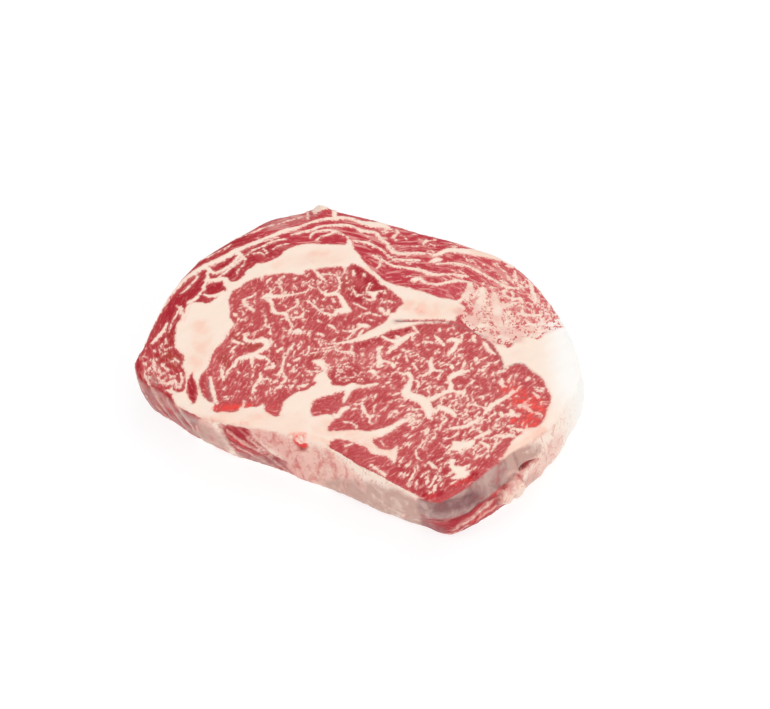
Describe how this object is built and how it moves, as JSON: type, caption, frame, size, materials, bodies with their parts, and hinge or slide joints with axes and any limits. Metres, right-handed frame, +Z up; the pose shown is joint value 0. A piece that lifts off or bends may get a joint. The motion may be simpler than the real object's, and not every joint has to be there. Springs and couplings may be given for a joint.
{
  "type": "raw ribeye steak",
  "caption": "Thick slice of raw marbled beef rib, lying on its cut face, with a trimmed fat and membrane edge.",
  "frame": {"origin": "under the middle of the steak, on the surface it lies on", "axes": "+Z up through the slice's thickness, +X along its longest side from the thin tail to the fat end, +Y towards the cap muscle's far edge"},
  "size_m": [0.1866, 0.1604, 0.0305],
  "materials": {
    "raw_beef": "moist"
  },
  "bodies": {
    "root": {"ribeye_steak": "raw_beef"}
  },
  "joints": []
}
